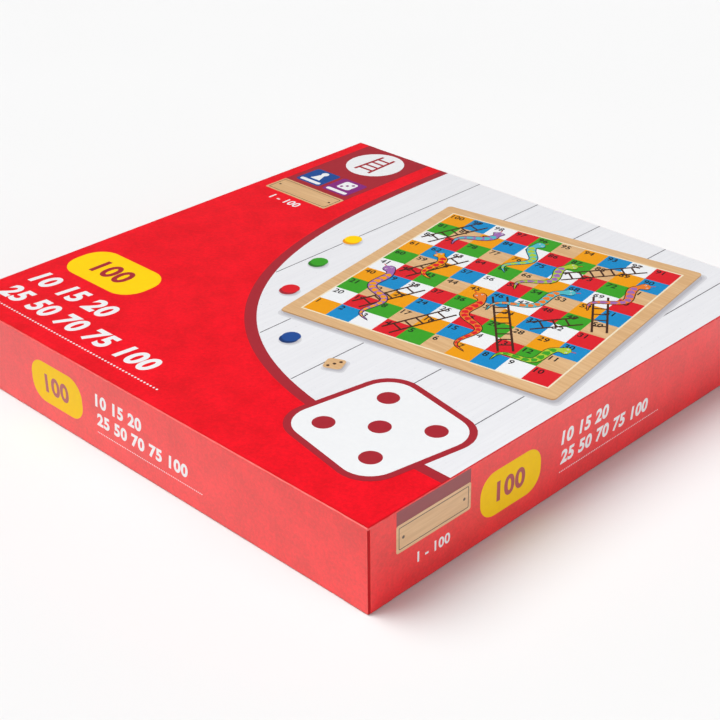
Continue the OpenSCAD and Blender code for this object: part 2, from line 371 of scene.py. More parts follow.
def beech_die():
    """Tumbled beech: pale pink-brown with short dark flecks, and burnt brown in its dimples."""
    material, tree, shader, place = new_material("tumbled_beech")
    low, high = corners("die")
    flat = (high.x - low.x) / 2 - PIP_DEPTH_SEEN
    upright = add(tree, "Mapping", {"Vector": place, "Scale": (1, 1, 0.15)})
    flecks = add(tree, "TexNoise", {"Vector": upright, "Scale": per(0.7), "Detail": 4.0})
    tone = add(tree, "TexNoise", {"Vector": upright, "Scale": per(4), "Detail": 2.0})
    wood = marked(tree, tone, "#D6A673", "#ECC596",
                  flecks, (0.55, 0.7), (0.0, 0.55), "#A87445")
    # A dimple lies inside both the cube and the ball that rounds its corners
    middle = (low + high) / 2
    offset = add(tree, "VectorMath", {0: place, 1: middle}, operation="SUBTRACT")
    apart = add(tree, "VectorMath", {0: offset}, operation="ABSOLUTE")
    x, y, z = add(tree, "SeparateXYZ", {0: apart}).outputs
    wider = add(tree, "Math", {0: x, 1: y}, operation="MAXIMUM")
    widest = add(tree, "Math", {0: wider, 1: z}, operation="MAXIMUM")
    in_cube = add(tree, "Math", {0: widest, 1: flat}, operation="LESS_THAN")
    reach = add(tree, "VectorMath", {0: offset}, operation="LENGTH")
    ball_r = DIE_BALL_R - PIP_DEPTH_SEEN
    in_ball = add(tree, "Math", {0: reach, 1: ball_r}, operation="LESS_THAN")
    pip = add(tree, "Math", {0: in_cube, 1: in_ball}, operation="MULTIPLY")
    colour = add(tree, "Mix", {"Factor": pip, "A": wood, "B": "#2C1A12"}, data_type="RGBA")
    bump = add(tree, "Bump", {"Height": flecks, "Distance": 0.04 * MM})
    feed(shader, {"Base Color": colour, "Normal": bump, "Roughness": 0.45})
    return material


# Modelling helpers


def deselect():
    """Selects nothing, as each operator acts on all that is selected."""
    bpy.ops.object.select_all(action="DESELECT")


def only(piece):
    """Selects one object alone and makes it the active one."""
    deselect()
    piece.select_set(True)
    bpy.context.view_layer.objects.active = piece


def mode(name):
    """Takes the active piece in or out of edit mode."""
    bpy.ops.object.mode_set(mode=name)


def pick(kind, test):
    """In edit mode, selects the verts, edges or faces that pass a test."""
    bpy.ops.mesh.select_mode(type=kind[:-1].upper())
    bpy.ops.mesh.select_all(action="DESELECT")
    mesh = bpy.context.object.data
    shape = bmesh.from_edit_mesh(mesh)
    for part in getattr(shape, kind):
        if test(part):
            part.select_set(True)
    shape.select_flush_mode()
    bmesh.update_edit_mesh(mesh)


def is_level(edge):
    """Whether both ends of an edge are at one height."""
    return abs(edge.verts[0].co.z - edge.verts[1].co.z) < HAIR


def open_welded(closeness=WELD):
    """Takes the active piece to edit mode, selected all over, with its doubled points merged."""
    mode("EDIT")
    bpy.ops.mesh.select_all(action="SELECT")
    bpy.ops.mesh.remove_doubles(threshold=closeness)


def block(name, low, high):
    """A box between two corners, with its place in its mesh."""
    deselect()
    bpy.ops.mesh.primitive_cube_add(size=1, location=(low + high) / 2, scale=high - low)
    made = bpy.context.object
    made.name = name
    bpy.ops.object.transform_apply(location=True, rotation=True, scale=True)
    return made


def cut_across(axis, distance):
    """In edit mode, cuts the whole mesh by a plane square to an axis."""
    bpy.ops.mesh.select_all(action="SELECT")
    way = Vector((0, 0, 0))
    way[axis] = 1
    bpy.ops.mesh.bisect(plane_co=way * distance, plane_no=way)


def apply_modifier(kind, **settings):
    """Adds a modifier to the active object, sets it and applies it."""
    bpy.ops.object.modifier_add(type=kind)
    modifier = bpy.context.object.modifiers[-1]
    for name, value in settings.items():
        setattr(modifier, name, value)
    bpy.ops.object.modifier_apply(modifier=modifier.name)


def finish_piece(piece, material, body, slot, *nodes):
    """Smooths a modelled piece, paints it and puts it in the place of its solids."""
    only(piece)
    bpy.ops.object.shade_smooth_by_angle(angle=math.radians(40))
    apply_modifier("WEIGHTED_NORMAL", keep_sharp=True)
    piece.data.materials.clear()
    piece.data.materials.append(material)
    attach(piece, body)
    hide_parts(*nodes)


def paint_node(name, material):
    """Gives a solid that shows as it is its finish."""
    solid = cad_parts[name]
    if not solid.material_slots:
        solid.data.materials.append(material)
    for held in solid.material_slots:
        held.material = material


# Pieces of the box


def paper_wrap(node, name, up):
    """Paper folded round a greyboard shell: panel, walls with the rise of the tapes, rim and hem.

    up is 1 where the panel is on top, as on the lid, and -1 where it is below, as on the base.
    """
    low, high = corners(node)
    half = (high - low) / 2
    panel_z, rim_z = (high.z, low.z) if up > 0 else (low.z, high.z)
    wrap = block(name, low, high)
    mode("EDIT")
    # The walls stand back between the corner tapes
    pad = STAY_LEG + SKIN_T
    for axis in (0, 1):
        for inward in (pad, pad + STAY_SLOPE):
            for side in (-1, 1):
                cut_across(axis, side * (half[axis] - inward))
    for axis in (0, 1):
        flat = half[1 - axis] - pad - STAY_SLOPE + HAIR
        pick("verts", lambda v: abs(v.co[1 - axis]) < flat and abs(v.co[axis]) > half[axis] - HAIR)
        sink = [1, 1, 1]
        sink[axis] = 1 - STAY_T / half[axis]
        bpy.ops.transform.resize(value=sink, center_override=(0, 0, 0))
    pick("faces", lambda f: f.normal.z * up < -FACING)
    bpy.ops.mesh.delete(type="FACE")
    if up < 0:
        # The paper under the base is only turned in round its bottom
        hole = [half[axis] - SKIN_T - HEM_W for axis in (0, 1)]
        for axis in (0, 1):
            for side in (-1, 1):
                cut_across(axis, side * hole[axis])
        pick("faces", lambda f: abs(f.normal.z) > FACING and all(
            abs(f.calc_center_median()[axis]) < hole[axis] for axis in (0, 1)))
        bpy.ops.mesh.delete(type="FACE")
    outer = half - Vector((2 * STAY_T, 2 * STAY_T, 0))

    def folded(edge):
        ends = [v.co for v in edge.verts]
        corner = all(abs(p.x) > half.x - HAIR and abs(p.y) > half.y - HAIR for p in ends)
        rim = all(abs(p.x) > outer.x or abs(p.y) > outer.y for p in ends)
        return corner or (rim and all(abs(p.z - panel_z) < HAIR for p in ends))

    pick("edges", folded)
    bpy.ops.mesh.bevel(offset=FOLD_R, segments=4, affect="EDGES")
    # The end papers stop short of the upright corners
    lap = half.y - LAP_STRIP
    start = panel_z - up * LAP_START
    for side in (-1, 1):
        for inward in (0, LAP_SLOPE):
            cut_across(1, side * (lap - inward))
    for down in (0, LAP_SLOPE):
        cut_across(2, start - up * down)
    pick("verts", lambda v: abs(v.co.x) > half.x - FOLD_R - HAIR and abs(v.co.y) > lap - HAIR
         and (start - v.co.z) * up > LAP_SLOPE - HAIR)
    bpy.ops.transform.resize(value=(1 - STAY_T / half.x, 1, 1), center_override=(0, 0, 0))
    # Round the rim and up the inside of the walls
    pick("edges", lambda e: e.is_boundary and all(abs(v.co.z - rim_z) < HAIR for v in e.verts))
    bpy.ops.mesh.extrude_edges_move(TRANSFORM_OT_translate={"value": (0, 0, 0)})
    inner = [1 - (SKIN_T + GREYBOARD_T + PAPER_T) / half[axis] for axis in (0, 1)]
    bpy.ops.transform.resize(value=(*inner, 1), center_override=(0, 0, 0))
    bpy.ops.mesh.extrude_edges_move(TRANSFORM_OT_translate={"value": (0, 0, up * HEM_W)})
    mode("OBJECT")
    apply_modifier("SOLIDIFY", thickness=PAPER_T, offset=-1, use_even_offset=True)
    return wrap


def eased_card(node, name):
    """A folded card with the sharp edges of its cuts and folds eased."""
    card = bpy.data.objects.new(name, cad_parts[node].data.copy())
    bpy.context.collection.objects.link(card)
    only(card)
    open_welded()
    bpy.ops.mesh.dissolve_limited(angle_limit=math.radians(0.5))
    mode("OBJECT")
    apply_modifier("BEVEL", width=CARD_EDGE_R, segments=2, limit_method="ANGLE",
                   angle_limit=math.radians(60))
    return card


# Pieces of the game


def plywood_board():
    """The playing board: a sawn square with rounded corners and sanded edges."""
    board = block("plywood_board", BOARD_LOW, BOARD_HIGH)
    mode("EDIT")
    pick("edges", lambda e: not is_level(e))
    bpy.ops.mesh.bevel(offset=BOARD_CORNER_R, segments=10, affect="EDGES")
    pick("edges", is_level)
    bpy.ops.mesh.bevel(offset=BOARD_EDGE_R, segments=3, affect="EDGES")
    mode("OBJECT")
    return board


def dowel_counter(node):
    """A counter: a length of dowel with its ends rounded by tumbling."""
    low, high = corners(node)
    deselect()
    bpy.ops.mesh.primitive_cylinder_add(
        vertices=96, radius=(high.x - low.x) / 2, depth=high.z - low.z, location=(low + high) / 2)
    counter = bpy.context.object
    counter.name = "painted_" + node
    bpy.ops.object.transform_apply(location=True, rotation=True, scale=True)
    mode("EDIT")
    pick("edges", is_level)
    bpy.ops.mesh.bevel(offset=COUNTER_EDGE_R, segments=4, affect="EDGES")
    mode("OBJECT")
    return counter


# Flat outlines of the print, in millimetres


def rectangle(left, bottom, right, top):
    """A rectangle between its sides."""
    return [(left, bottom), (right, bottom), (right, top), (left, top)]


def turned(points, degrees, about):
    """Points turned anticlockwise about a place."""
    c, s = math.cos(math.radians(degrees)), math.sin(math.radians(degrees))
    ax, ay = about
    return [(ax + c * (x - ax) - s * (y - ay), ay + s * (x - ax) + c * (y - ay)) for x, y in points]


def disc(x, y, r, points=48):
    """A circle about its middle."""
    turns = [2 * math.pi * i / points for i in range(points)]
    return [(x + r * math.cos(t), y + r * math.sin(t)) for t in turns]


def rounded(x, y, w, h, r, steps=8):
    """A rectangle with round corners about its middle."""
    points = []
    for quarter, (sx, sy) in enumerate(((1, 1), (-1, 1), (-1, -1), (1, -1))):
        cx, cy = x + sx * (w / 2 - r), y + sy * (h / 2 - r)
        for i in range(steps + 1):
            t = math.pi / 2 * (quarter + i / steps)
            points.append((cx + r * math.cos(t), cy + r * math.sin(t)))
    return points


def bar(start, end, width):
    """A straight bar between two places."""
    (x0, y0), (x1, y1) = start, end
    length = math.hypot(x1 - x0, y1 - y0)
    nx, ny = (y0 - y1) / length * width / 2, (x1 - x0) / length * width / 2
    return [(x0 - nx, y0 - ny), (x1 - nx, y1 - ny), (x1 + nx, y1 + ny), (x0 + nx, y0 + ny)]


# Printing: a sheet holds flat meshes by ink until it is pressed on to its face

# Points on each curve of a figure, on the box and on the board
FINE, COARSE = 6, 3
# Depth of figures, as a share of their size, before they are flattened to a layer of ink
ROUGH_DEPTH = 0.1


def stamp(sheet, ink, level, outlines):
    """Prints closed outlines in one ink. An outline inside another is a hole."""
    curve = bpy.data.curves.new(ink, "CURVE")
    curve.dimensions = "2D"
    curve.fill_mode = "BOTH"
    curve.extrude = INK_T / 2
    for outline in outlines:
        spline = curve.splines.new("POLY")
        spline.points.add(len(outline) - 1)
        spline.use_cyclic_u = True
        for point, (x, y) in zip(spline.points, outline):
            point.co = (x * MM, y * MM, 0, 1)
    patch = bpy.data.objects.new(ink, curve)
    bpy.context.collection.objects.link(patch)
    only(patch)
    bpy.ops.object.convert(target="MESH")
    patch = bpy.context.object
    patch.data.transform(Matrix.Translation((0, 0, (level + 0.5) * INK_T)))
    sheet.setdefault(ink, []).append(patch)


def write(sheet, ink, level, figures, height, at, grip=(0.5, 0.5), slant=0.0, weight=0.0,
          smooth=FINE, bold=0.0):
    """Prints a row of plain figures of that height, held at a share of its width and height.

    weight thickens large figures as they are drawn, and bold thickens small ones afterwards.
    """
    deselect()
    bpy.ops.object.text_add()
    row = bpy.context.object.data
    row.body = figures
    row.shear = slant
    row.offset = weight
    row.space_character = 1 + 2 * (weight + bold)
    row.resolution_u = smooth
    row.extrude = ROUGH_DEPTH
    bpy.ops.object.convert(target="MESH")
    patch = bpy.context.object
    if bold:
        # Points that almost meet are made one first, or the thicker strokes would cross there
        open_welded(bold / 5)
        bpy.ops.mesh.normals_make_consistent(inside=False)
        bpy.ops.transform.shrink_fatten(value=bold, use_even_offset=True)
        mode("OBJECT")
    for corner in patch.data.vertices:
        corner.co.z = math.copysign(INK_T / 2, corner.co.z)
    places = [corner.co for corner in patch.data.vertices]
    low, high = (Vector([end(p[i] for p in places) for i in (0, 1)]) for end in (min, max))
    scale = height * MM / (high.y - low.y)
    held = Vector([low[i] + grip[i] * (high[i] - low[i]) for i in (0, 1)] + [0])
    there = Vector((at[0] * MM, at[1] * MM, (level + 0.5) * INK_T))
    patch.data.transform(Matrix.Translation(-held))
    patch.data.transform(Matrix.Translation(there) @ Matrix.Diagonal((scale, scale, 1, 1)))
    sheet.setdefault(ink, []).append(patch)


def lay(sheet, place, printed):
    """Lays a sheet on its face, and adds it to all that is printed so far."""
    for ink, patches in sheet.items():
        for patch in patches:
            patch.data.transform(place)
        printed.setdefault(ink, []).extend(patches)


def press(printed, prefix, inks, body):
    """Joins all that is printed in one ink into one closed piece."""
    for ink, patches in printed.items():
        only(patches[0])
        for patch in patches:
            patch.select_set(True)
        if len(patches) > 1:
            bpy.ops.object.join()
        print_layer = bpy.context.object
        print_layer.name = prefix + "_" + ink + "_print"
        open_welded()
        bpy.ops.mesh.normals_make_consistent(inside=False)
        mode("OBJECT")
        print_layer.data.materials.clear()
        print_layer.data.materials.append(inks[ink])
        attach(print_layer, body)


# The board's own print

SQUARES = 10
SQUARE_W = 24
FRAME_LINE = 1.6
SQUARE_INKS = ("amber", "blue", "white", "red", "green", None)
# Figure in the corner of each square
FIGURE_H = 7.2
FIGURE_INSET = 2
FIGURE_BOLD = 0.02
# Foot and head of each ladder
LADDERS = ((4, 25), (13, 46), (19, 38), (33, 49), (42, 63), (50, 69), (74, 92), (80, 99))
RAIL_W = 2
RUNG_W = 1.8
LADDER_W = 12.5
RUNG_STEP = 9
# Head and tail of each snake, its half waves, and the inks of its body and bands
SNAKES = (
    (30, 8, 3, "lime", "green"),
    (45, 7, 4, "orange", "red"),
    (41, 3, 4, "violet", "amber"),
    (68, 35, 3, "teal", "orange"),
    (62, 43, 2, "amber", "red"),
    (90, 52, 3, "orange", "violet"),
    (87, 55, 3, "lime", "violet"),
    (96, 65, 3, "teal", "lime"),
    (98, 79, 2, "violet", "teal"),
)
SNAKE_W = 8.4
SNAKE_SWAY = 9
SNAKE_LINE = 0.8
SNAKE_STEPS = 60
BAND_STEP = 7
TONGUE = 4
EYE_R = 0.95
PUPIL_R = 0.5
# Shares of a snake's length from its tail
NECK_AT = 0.86
HEAD_AT = 0.95
EYES_AT = 0.955
THROAT_AT = 0.97


def square_place(number):
    """Column and row of a numbered square. The rows run to and fro from the bottom left."""
    row, step = divmod(number - 1, SQUARES)
    return step if row % 2 == 0 else SQUARES - 1 - step, row


def square_middle(number):
    """Middle of a numbered square."""
    return tuple((i - (SQUARES - 1) / 2) * SQUARE_W for i in square_place(number))


def ladder(sheet, level, foot, head):
    """A flat ladder from one square to another, that reaches a little past their middles."""
    (x0, y0), (x1, y1) = square_middle(foot), square_middle(head)
    length = math.hypot(x1 - x0, y1 - y0)
    ux, uy = (x1 - x0) / length, (y1 - y0) / length
    over = SQUARE_W / 4
    across = LADDER_W / 2

    def at(along, aside):
        return x0 + ux * along - uy * aside, y0 + uy * along + ux * aside

    rungs = int(length / RUNG_STEP)
    steps = [(i + 0.5) * length / rungs for i in range(rungs)]
    stamp(sheet, "brown", level, [bar(at(s, -across), at(s, across), RUNG_W) for s in steps])
    rails = [bar(at(-over, side), at(length + over, side), RAIL_W) for side in (-across, across)]
    stamp(sheet, "brown", level + 1, rails)


def snake(sheet, level, head, tail, waves, skin, bands):
    """A flat snake: a tapered wavy band from its tail to a rounder head, with eyes and a tongue."""
    (x0, y0), (x1, y1) = square_middle(tail), square_middle(head)
    length = math.hypot(x1 - x0, y1 - y0)
    ux, uy = (x1 - x0) / length, (y1 - y0) / length

    def spine(t):
        sway = SNAKE_SWAY * math.sin(math.pi * waves * t) * (1 - 0.4 * t)
        return x0 + ux * length * t - uy * sway, y0 + uy * length * t + ux * sway

    def half_width(t):
        body = 1 - (1 - t) ** 2.4
        neck = 1 - 0.25 * math.exp(-((t - NECK_AT) / 0.05) ** 2)
        skull = 0.3 * math.exp(-((t - HEAD_AT) / 0.035) ** 2)
        end = math.sqrt(max(0.0, 1 - (max(0.0, t - HEAD_AT) / (1 - HEAD_AT)) ** 2))
        return SNAKE_W / 2 * (body * neck + skull) * end

    def side(t, share, spare=0.0):
        (xa, ya), (xb, yb) = spine(t - 0.004), spine(t + 0.004)
        run = math.hypot(xb - xa, yb - ya)
        x, y = spine(t)
        out = share * (half_width(t) + spare)
        return x - (yb - ya) / run * out, y + (xb - xa) / run * out

    steps = [i / SNAKE_STEPS for i in range(SNAKE_STEPS + 1)]
    for ink, spare, raised in (("black", SNAKE_LINE, 0), (skin, 0.0, 1)):
        left = [side(t, 1, spare) for t in steps]
        right = [side(t, -1, spare) for t in reversed(steps[1:-1])]
        stamp(sheet, ink, level + raised, [left + right])
    count = int(length / BAND_STEP)
    marks = []
    for i in range(1, count):
        t0 = NECK_AT * i / count
        t1 = t0 + 0.4 / count
        point = spine(t1 + 0.35 / count)
        marks.append([side(t0, 0.8), side(t1, 0.8), point, side(t1, -0.8), side(t0, -0.8)])
    stamp(sheet, bands, level + 2, marks)
    eyes = [side(EYES_AT, share) for share in (0.5, -0.5)]
    stamp(sheet, "white", level + 2, [disc(x, y, EYE_R, 16) for x, y in eyes])
    stamp(sheet, "black", level + 3, [disc(x, y, PUPIL_R, 12) for x, y in eyes])
    (xa, ya), (xb, yb) = spine(THROAT_AT), spine(1)
    share = TONGUE / math.hypot(xb - xa, yb - ya)
    tip = (xb + (xb - xa) * share, yb + (yb - ya) * share)
    stamp(sheet, "red", level + 1, [bar((xb, yb), tip, SNAKE_LINE)])


def board_print(sheet, level):
    """Squares, figures, ladders and snakes, about the middle of a board at its full size."""
    reach = SQUARES * SQUARE_W / 2
    line = reach + FRAME_LINE
    stamp(sheet, "cream", level, [
        rectangle(-line, -line, line, line), rectangle(-reach, -reach, reach, reach),
    ])
    by_ink = {}
    half = SQUARE_W / 2
    for number in range(1, SQUARES * SQUARES + 1):
        x, y = square_middle(number)
        column, row = square_place(number)
        ink = SQUARE_INKS[(column + 2 * row) % len(SQUARE_INKS)]
        if ink:
            by_ink.setdefault(ink, []).append(rectangle(x - half, y - half, x + half, y + half))
        corner = (x - half + FIGURE_INSET, y + half - FIGURE_INSET)
        write(sheet, "black", level + 1, str(number), FIGURE_H, corner, (0, 1), smooth=COARSE,
              bold=FIGURE_BOLD)
    for ink, squares in by_ink.items():
        stamp(sheet, ink, level, squares)
    for foot, head in LADDERS:
        ladder(sheet, level + 2, foot, head)
    for head, tail, waves, skin, bands in SNAKES:
        snake(sheet, level + 4, head, tail, waves, skin, bands)


# The lid's print

# Picture panel: a rounded field that runs off the back and right edges of the lid
PANEL_W = 232
PANEL_D = 258
PANEL_POWER = 3
PANEL_STEPS = 64
PANEL_BAND = 5.7
# Red that shows between the print and the fold
FOLD_MARGIN = 0.8
# Pictured planks: their width, the first joint from the right, and the width of a joint
PLANK_W = 46
PLANK_START = 22
PLANK_LINE = 0.6
# Pictured board: its middle, width and turn
PICTURE_AT = (52, 48)
PICTURE_W = 164
PICTURE_TURN = 9
# Pictured counters: the middle of each, and the inks of its top and side
PICTURED_COUNTERS = (
    (-50, 42, "yellow", "amber"),
    (-43, 8, "green", "deep_green"),
    (-30, -26, "red", "dark_red"),
    (10, -63, "royal", "deep_blue"),
)
PICTURED_COUNTER_R = 5
# Pictured die: its middle, width, corner and turn
PICTURED_DIE_AT = (46, -67)
PICTURED_DIE_W = 10
PICTURED_DIE_R = 2.4
PICTURED_DIE_TURN = 24
# Each tone of a pictured shadow is this much narrower all round than the one below it
SHADOW_STEP = 0.8
# Titles: slant and weight of the figures, and the number of dots below them
TITLE_SLANT = 0.12
TITLE_WEIGHT = 0.04
TITLE_DOTS = 62
# Weight of the small row of figures below a plaque
NOTE_WEIGHT = 0.025


def panel_outline(spare):
    """Edge of the picture panel, widened by a spare margin."""
    right, back = LID_HALF_W - FOLD_MARGIN, LID_HALF_D - FOLD_MARGIN
    points = [(right, back)]
    for i in range(PANEL_STEPS + 1):
        t = math.pi / 2 * i / PANEL_STEPS
        x = LID_HALF_W - (PANEL_W + spare) * math.cos(t) ** (2 / PANEL_POWER)
        y = LID_HALF_D - (PANEL_D + spare) * math.sin(t) ** (2 / PANEL_POWER)
        points.append((min(x, right), min(y, back)))
    return points


def panel_front(x):
    """How far forward the picture panel reaches at a place across the lid."""
    share = (LID_HALF_W - x) / PANEL_W
    return LID_HALF_D - PANEL_D * max(0.0, 1 - share ** PANEL_POWER) ** (1 / PANEL_POWER)


def soft_shadow(sheet, level, outline):
    """A pictured shadow in three tones, of an outline that widens by a spare margin."""
    for step, ink in enumerate(("shade_edge", "shade", "shade_core")):
        stamp(sheet, ink, level + step, [outline((2 - step) * SHADOW_STEP)])


def pictured_counter(sheet, level, x, y, top, side):
    """A counter seen from above and a little to one side."""
    r = PICTURED_COUNTER_R
    soft_shadow(sheet, level, lambda spare: disc(x + 1.8, y - 2, r + spare - 0.6, 32))
    stamp(sheet, side, level + 3, [disc(x + 0.5, y - 1.6, r, 32)])
    stamp(sheet, top, level + 4, [disc(x, y + 0.6, r, 32)])


def pictured_die(sheet, level):
    """A small wooden die seen from above, with a three on top."""
    here = x, y = PICTURED_DIE_AT
    w, r, turn = PICTURED_DIE_W, PICTURED_DIE_R, PICTURED_DIE_TURN

    def shadow(spare):
        wide = w - 1 + 2 * spare
        return turned(rounded(x + 1.2, y - 1.6, wide, wide, r), turn, here)

    soft_shadow(sheet, level, shadow)
    stamp(sheet, "wood", level + 3, [turned(rounded(x, y, w, w, r), turn, here)])
    spots = turned([(x + i * w / 4, y + i * w / 4) for i in (-1, 1, 0)], turn, here)
    stamp(sheet, "brown", level + 4, [disc(px, py, 0.9, 16) for px, py in spots])


def die_face(sheet, level, x, y, w, line, turn):
    """A five on a white rounded square with a dark outline."""
    here = (x, y)
    stamp(sheet, "dark_red", level, [turned(rounded(x, y, w, w, w * 0.24), turn, here)])
    inner = w - 2 * line
    stamp(sheet, "white", level + 1, [turned(rounded(x, y, inner, inner, w * 0.2), turn, here)])
    step, spot_r = w * 0.25, w * 0.075
    five = ((-1, -1), (-1, 1), (0, 0), (1, -1), (1, 1))
    spots = turned([(x + i * step, y + j * step) for i, j in five], turn, here)
    stamp(sheet, "dark_red", level + 2, [disc(px, py, spot_r) for px, py in spots])


def banner(sheet, x, y, w, h):
    """A yellow pill with the number of the last square."""
    stamp(sheet, "yellow", 0, [rounded(x, y, w, h, h * 0.42)])
    write(sheet, "dark_red", 1, "100", h * 0.46, (x, y), weight=0.035)


def title(sheet, left, first_y, second_y, cap, dots_y):
    """Two rows of white figures over a row of small dots."""
    for figures, y in (("10 15 20", first_y), ("25 50 70 75 100", second_y)):
        write(sheet, "white", 0, figures, cap, (left, y), (0, 0), TITLE_SLANT, TITLE_WEIGHT)
    pitch, dot_r = cap * 0.17, cap * 0.045
    dots = [disc(left + i * pitch, dots_y, dot_r, 10) for i in range(TITLE_DOTS)]
    stamp(sheet, "white", 0, dots)


def plaque(sheet, wood, x, y, w, h):
    """A bare wooden name plate with a thin line round it and a pin at each end."""
    inset, line = 1.5, 0.4
    outer = rounded(x, y, w - 2 * inset, h - 2 * inset, 0.8)
    inner = rounded(x, y, w - 2 * (inset + line), h - 2 * (inset + line), 0.6)
    stamp(sheet, wood, 1, [rounded(x, y, w, h, 1.2)])
    stamp(sheet, "brown", 2, [outer, inner])
    stamp(sheet, "brown", 2, [disc(x + side * (w / 2 - 4.4), y, 0.8, 16) for side in (-1, 1)])


def tab(sheet, left, right, back):
    """The dark tab in the lid's back corner: a ladder roundel, two signs and a wooden plate."""
    front, plate_y, plate_h, note_y, note_h = 74, 70.2, 17.4, 54.2, 6.2
    roundel_y, roundel_r, rail_x = 132.5, 18.6, 6
    sign_y, sign_w, sign_step, line_y = 93.5, 20.5, 11.6, 86.4
    cube_y, cube_w, spot_step = 96, 10.4, 2.6
    middle = (left + right) / 2
    pawn_x, cube_x = middle - sign_step, middle + sign_step
    stamp(sheet, "dark_red", 0, [rectangle(left, front, right, back)])
    stamp(sheet, "white", 1, [disc(middle, roundel_y, roundel_r, 64)])
    stamp(sheet, "dark_red", 2, [
        bar((middle + side, 120), (middle + side * 0.8, 145.5), 2) for side in (-rail_x, rail_x)
    ])
    stamp(sheet, "dark_red", 3, [
        bar((middle - rail_x, y), (middle + rail_x, y), 1.8) for y in (124, 129.5, 135, 140.5)
    ])
    for x, ink in ((pawn_x, "royal"), (cube_x, "plum")):
        stamp(sheet, ink, 1, [rounded(x, sign_y, sign_w, sign_w, 2)])
        stamp(sheet, "white", 2, [rounded(x, line_y, 17, 3, 1.4)])
    stamp(sheet, "white", 2, [disc(pawn_x, 99.5, 2.5, 24)])
    foot, neck = 90.2, 98.4
    stamp(sheet, "white", 3, [[
        (pawn_x - 4, foot), (pawn_x + 4, foot), (pawn_x + 1, neck), (pawn_x - 1, neck),
    ]])
    stamp(sheet, "white", 2, [rounded(cube_x, cube_y, cube_w, cube_w, 2)])
    spots = [(cube_x + i * spot_step, cube_y + i * spot_step) for i in (-1, 0, 1)]
    stamp(sheet, "plum", 3, [disc(x, y, 1.1, 16) for x, y in spots])
    plaque(sheet, "wood", middle, plate_y, right - left, plate_h)
    write(sheet, "white", 0, "1 - 100", note_h, (middle, note_y), weight=NOTE_WEIGHT)


def lid_top_print():
    """The top of the lid, all but the pictured board."""
    sheet = {}
    stamp(sheet, "dark_red", 0, [panel_outline(PANEL_BAND)])
    stamp(sheet, "panel", 1, [panel_outline(0)])
    back = LID_HALF_D - FOLD_MARGIN
    joints = [LID_HALF_W - PLANK_START - PLANK_W * i for i in range(5)]
    stamp(sheet, "plank_line", 2, [
        rectangle(x, panel_front(x) + PLANK_LINE, x + PLANK_LINE, back) for x in joints
    ])
    for x, y, top, side in PICTURED_COUNTERS:
        pictured_counter(sheet, 3, x, y, top, side)
    pictured_die(sheet, 3)
    die_face(sheet, 3, x=103, y=-94, w=74, line=3.6, turn=-10)
    tab(sheet, left=-146, right=-94, back=back)
    banner(sheet, x=-115.5, y=-79, w=61, h=32)
    title(sheet, left=-143, first_y=-117, second_y=-137.5, cap=14, dots_y=-143)
    return sheet


def pictured_board():
    """The board in the lid's picture, at its full size about its own middle."""
    sheet = {}

    def square(x, y, spare=0.0, r=4):
        return rounded(x, y, BOARD_W + spare, BOARD_W + spare, r)

    soft_shadow(sheet, 0, lambda spare: square(4, -5, 4 * spare, 6))
    stamp(sheet, "wood_edge", 3, [square(0.6, -1.6)])
    stamp(sheet, "wood", 4, [square(0, 0)])
    board_print(sheet, 5)
    return sheet


def side_print(banner_x, title_x):
    """What all four walls of the lid carry."""
    sheet = {}
    banner(sheet, banner_x, y=22.5, w=43, h=24)
    title(sheet, title_x, first_y=26, second_y=15, cap=7.7, dots_y=11)
    return sheet


def end_print():
    """Right and left of the lid, with the foot of the tab and its wooden plate."""
    sheet = side_print(-61.5, -25)
    middle = -113.7
    stamp(sheet, "deep_red", 0, [rectangle(-137.5, 35, -90, LID_TOP - FOLD_MARGIN)])
    plaque(sheet, "side_wood", middle, y=29.8, w=48, h=14.5)
    write(sheet, "white", 0, "1 - 100", 5.6, (middle, 14.4), weight=NOTE_WEIGHT)
    return sheet


# Inks, lighter and darker tone of each
INK_TONES = {
    "dark_red": ("#B02A36", "#A4232E"),
    "deep_red": ("#90222D", "#861C26"),
    "white": ("#F6F7F8", "#EFF0F2"),
    "plank_line": ("#6E6C70", "#56545A"),
    "shade_edge": ("#DDDCE0", "#D5D4D9"),
    "shade": ("#CFCED3", "#C6C5CB"),
    "shade_core": ("#BDBBC1", "#B3B1B8"),
    "wood_edge": ("#C3935F", "#AF8050"),
    "cream": ("#F8EBCF", "#F0E0C0"),
    "amber": ("#F7A50C", "#EE9A06"),
    "blue": ("#1A93D2", "#1387C4"),
    "red": ("#E6222D", "#DA1B27"),
    "green": ("#41A92A", "#379E22"),
    "brown": ("#4C2D20", "#40251A"),
    "black": ("#242021", "#1B1718"),
    "lime": ("#B4D23C", "#A8C733"),
    "orange": ("#F28331", "#E87826"),
    "violet": ("#A974B8", "#9C66AC"),
    "teal": ("#5CC3CC", "#4EB7C1"),
    "royal": ("#22529F", "#1C4890"),
    "plum": ("#8F2D86", "#83257A"),
    "deep_green": ("#2E7F20", "#28731B"),
    "deep_blue": ("#183C78", "#14336A"),
}
BOARD_INKS = (
    "cream", "amber", "blue", "white", "red", "green", "brown", "black", "lime", "orange", "violet",
    "teal",
)


